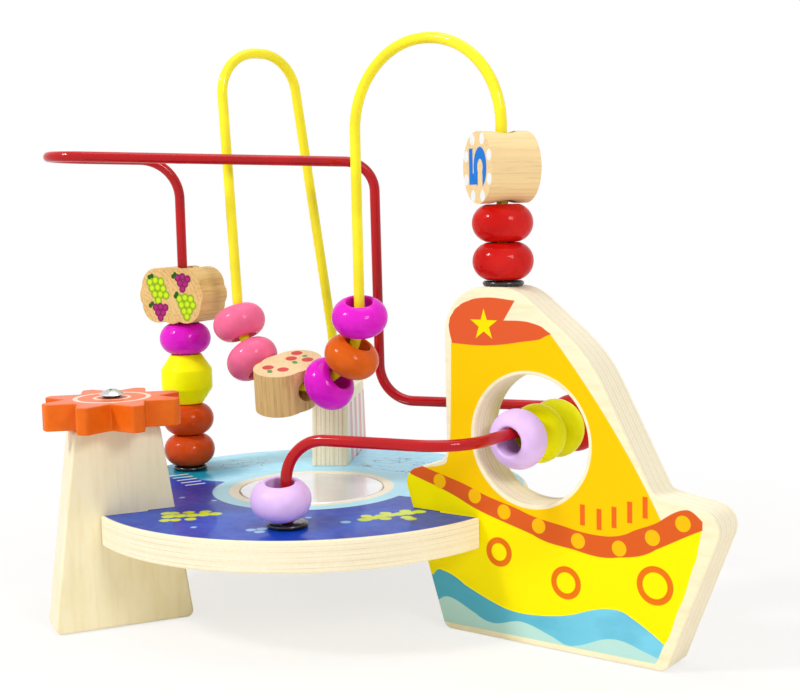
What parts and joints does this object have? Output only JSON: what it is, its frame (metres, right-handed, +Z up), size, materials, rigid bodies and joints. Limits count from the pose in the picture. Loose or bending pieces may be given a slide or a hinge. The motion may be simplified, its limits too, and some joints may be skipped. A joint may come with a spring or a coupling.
{
  "type": "bead maze",
  "caption": "Wooden bead maze: round platform slotted onto three upright panels, bent wires with threaded beads and blocks, a turning gear and a round mirror.",
  "frame": {"origin": "middle of the boat panel's foot, on the table", "axes": "+X outwards along the boat panel, away from the platform; +Z up; the boat's printed side faces -Y"},
  "size_m": [0.3195, 0.2205, 0.2544],
  "materials": {
    "plywood": "satin varnish",
    "boat_print": "printed, satin varnish",
    "mirror_glass": "mirror",
    "orange_paint": "gloss paint",
    "yellow_paint": "gloss paint",
    "magenta_paint": "gloss paint",
    "red_paint": "gloss paint",
    "pink_paint": "gloss paint",
    "lilac_paint": "gloss paint",
    "bare_wood": "satin varnish",
    "steel": "polished",
    "dark_steel": "satin",
    "red_coat": "gloss coating",
    "yellow_coat": "gloss coating",
    "black_plastic": "gloss"
  },
  "bodies": {
    "stand": {"platform": "plywood", "mirror": "mirror_glass", "gear_panel": "plywood", "boat_panel": "boat_print", "tower_panel": "plywood", "gear_screw": "steel", "gear_washer": "dark_steel", "red_wire": "red_coat", "yellow_wire": "yellow_coat", "post_ferrule": "black_plastic", "front_ferrule": "black_plastic", "mast_ferrule": "black_plastic", "tower_ferrule": "black_plastic"},
    "gear": {"gear": "orange_paint"},
    "post_bead_orange_low": {"post_bead_orange_low": "orange_paint"},
    "post_bead_orange_high": {"post_bead_orange_high": "orange_paint"},
    "post_barrel_yellow": {"post_barrel_yellow": "yellow_paint"},
    "post_bead_magenta": {"post_bead_magenta": "magenta_paint"},
    "berry_block": {"berry_block": "bare_wood"},
    "mast_bead_red_low": {"mast_bead_red_low": "red_paint"},
    "mast_bead_red_high": {"mast_bead_red_high": "red_paint"},
    "number_block": {"number_block": "bare_wood"},
    "dip_bead_magenta_high": {"dip_bead_magenta_high": "magenta_paint"},
    "dip_bead_orange": {"dip_bead_orange": "orange_paint"},
    "dip_bead_magenta_low": {"dip_bead_magenta_low": "magenta_paint"},
    "cherry_block": {"cherry_block": "bare_wood"},
    "dip_bead_pink_low": {"dip_bead_pink_low": "pink_paint"},
    "dip_bead_pink_high": {"dip_bead_pink_high": "pink_paint"},
    "front_bead_lilac": {"front_bead_lilac": "lilac_paint"},
    "strand_bead_lilac": {"strand_bead_lilac": "lilac_paint"},
    "strand_bead_yellow_front": {"strand_bead_yellow_front": "yellow_paint"},
    "strand_bead_yellow_back": {"strand_bead_yellow_back": "yellow_paint"},
    "strand_bead_red": {"strand_bead_red": "red_paint"}
  },
  "joints": [
    {"name": "gear_spin", "type": "hinge", "parent": "stand", "child": "gear", "pos_m": [-0.1761, -0.07794, 0.094], "axis": [0, 0, 1], "continuous": true},
    {"name": "post_bead_orange_low_spin", "type": "hinge", "parent": "stand", "child": "post_bead_orange_low", "pos_m": [-0.2126, 0.0027, 0.06008], "axis": [0, 0, 1], "continuous": true},
    {"name": "post_bead_orange_high_spin", "type": "hinge", "parent": "stand", "child": "post_bead_orange_high", "pos_m": [-0.2126, 0.0027, 0.07553], "axis": [0, 0, 1], "continuous": true},
    {"name": "post_barrel_yellow_spin", "type": "hinge", "parent": "stand", "child": "post_barrel_yellow", "pos_m": [-0.2126, 0.0027, 0.09561], "axis": [0, 0, 1], "continuous": true},
    {"name": "post_bead_magenta_spin", "type": "hinge", "parent": "stand", "child": "post_bead_magenta", "pos_m": [-0.2126, 0.0027, 0.11569], "axis": [0, 0, 1], "continuous": true},
    {"name": "berry_block_slide", "type": "slide", "parent": "stand", "child": "berry_block", "axis": [0, 0, 1], "range_m": [0, 0.036]},
    {"name": "mast_bead_red_low_spin", "type": "hinge", "parent": "stand", "child": "mast_bead_red_low", "pos_m": [-0.0251, 0, 0.15558], "axis": [0, 0, 1], "continuous": true},
    {"name": "mast_bead_red_high_spin", "type": "hinge", "parent": "stand", "child": "mast_bead_red_high", "pos_m": [-0.0251, 0, 0.17103], "axis": [0, 0, 1], "continuous": true},
    {"name": "number_block_slide", "type": "slide", "parent": "stand", "child": "number_block", "axis": [0, 0, 1], "range_m": [0, 0.014]},
    {"name": "dip_bead_magenta_high_slide", "type": "slide", "parent": "stand", "child": "dip_bead_magenta_high", "axis": [0, 0, 1], "range_m": [0, 0.073]},
    {"name": "dip_bead_orange_spin", "type": "hinge", "parent": "stand", "child": "dip_bead_orange", "pos_m": [-0.10545, 0, 0.11218], "axis": [0.5152, 0, 0.8571], "continuous": true},
    {"name": "dip_bead_magenta_low_spin", "type": "hinge", "parent": "stand", "child": "dip_bead_magenta_low", "pos_m": [-0.11886, 0, 0.09923], "axis": [0.8748, 0, 0.4845], "continuous": true},
    {"name": "cherry_block_spin", "type": "hinge", "parent": "stand", "child": "cherry_block", "pos_m": [-0.1432, 0, 0.09784], "axis": [0.9877, 0, -0.1564], "continuous": true},
    {"name": "dip_bead_pink_low_spin", "type": "hinge", "parent": "stand", "child": "dip_bead_pink_low", "pos_m": [-0.16561, 0, 0.10807], "axis": [0.6295, 0, -0.777], "continuous": true},
    {"name": "dip_bead_pink_high_slide", "type": "slide", "parent": "stand", "child": "dip_bead_pink_high", "axis": [-0.0522, 0, 0.9986], "range_m": [0, 0.06]},
    {"name": "front_bead_lilac_slide", "type": "slide", "parent": "stand", "child": "front_bead_lilac", "axis": [0, 0, 1], "range_m": [0, 0.004]},
    {"name": "strand_bead_lilac_slide", "type": "slide", "parent": "stand", "child": "strand_bead_lilac", "axis": [0, -1, 0], "range_m": [0, 0.017]},
    {"name": "strand_bead_yellow_front_spin", "type": "hinge", "parent": "stand", "child": "strand_bead_yellow_front", "pos_m": [-0.0166, 0.01145, 0.0834], "axis": [0, 1, 0], "continuous": true},
    {"name": "strand_bead_yellow_back_spin", "type": "hinge", "parent": "stand", "child": "strand_bead_yellow_back", "pos_m": [-0.0166, 0.02691, 0.0834], "axis": [0, 1, 0], "continuous": true},
    {"name": "strand_bead_red_spin", "type": "hinge", "parent": "stand", "child": "strand_bead_red", "pos_m": [-0.0166, 0.04236, 0.0834], "axis": [0, 1, 0], "continuous": true}
  ]
}
